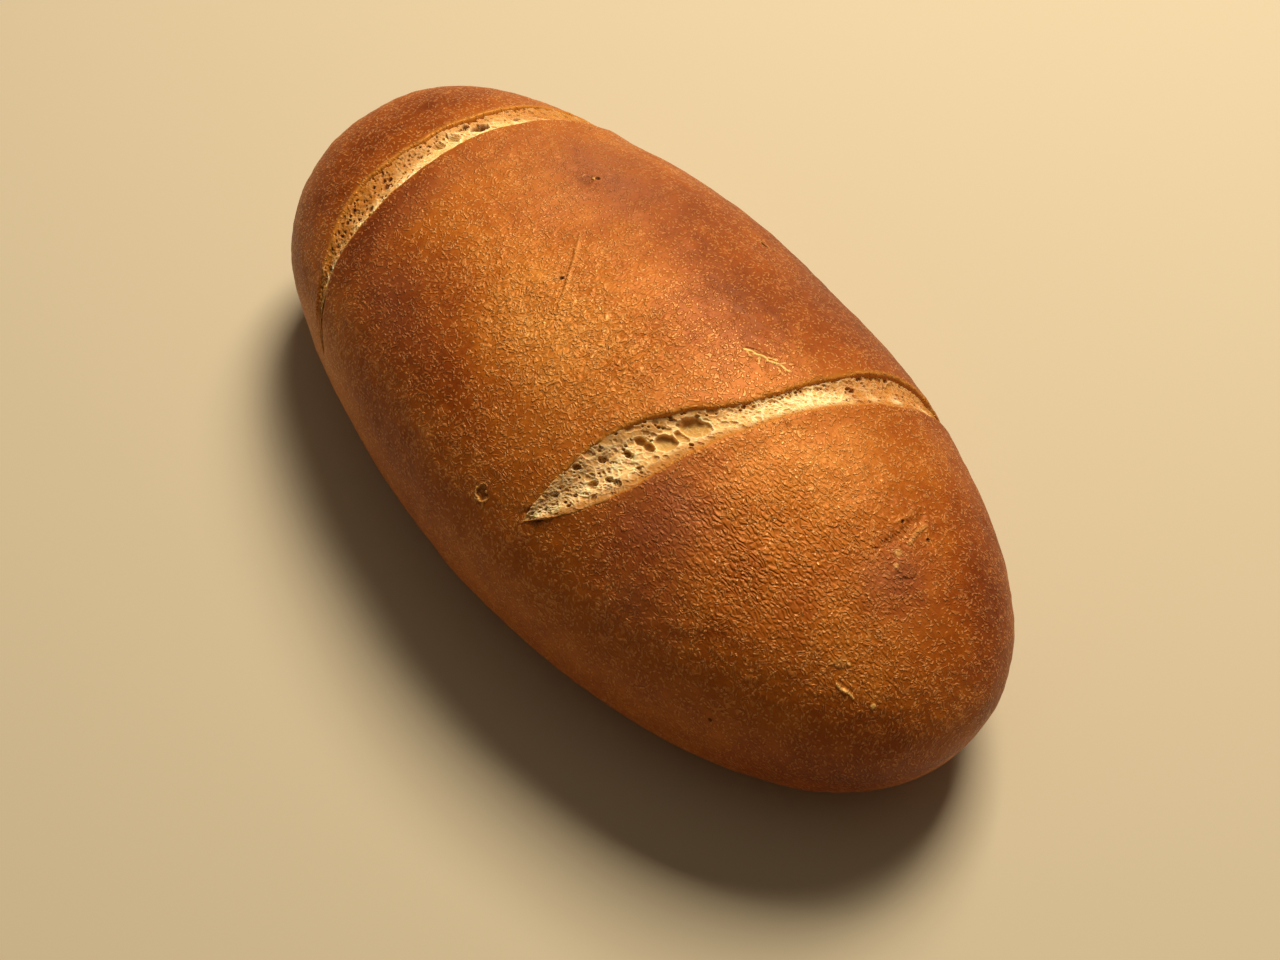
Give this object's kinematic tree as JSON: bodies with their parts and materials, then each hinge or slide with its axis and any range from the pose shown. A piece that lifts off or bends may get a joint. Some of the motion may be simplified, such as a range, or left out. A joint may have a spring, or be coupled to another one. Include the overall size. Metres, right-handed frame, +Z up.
{
  "type": "bloomer loaf",
  "caption": "Oval hearth-baked white loaf with a glossy brown crust and slanted slashes across its top that opened and show the crumb.",
  "frame": {"origin": "on the base plane, under the middle of the loaf's box", "axes": "+X along the loaf towards its rounder end, +Y across it, +Z up from the flat base"},
  "size_m": [0.27, 0.141, 0.0909],
  "materials": {
    "crust": "baked bread crust, satin, orange-brown",
    "crumb": "open bread crumb, matt, golden cream"
  },
  "bodies": {
    "root": {"loaf": "crust"}
  },
  "joints": []
}
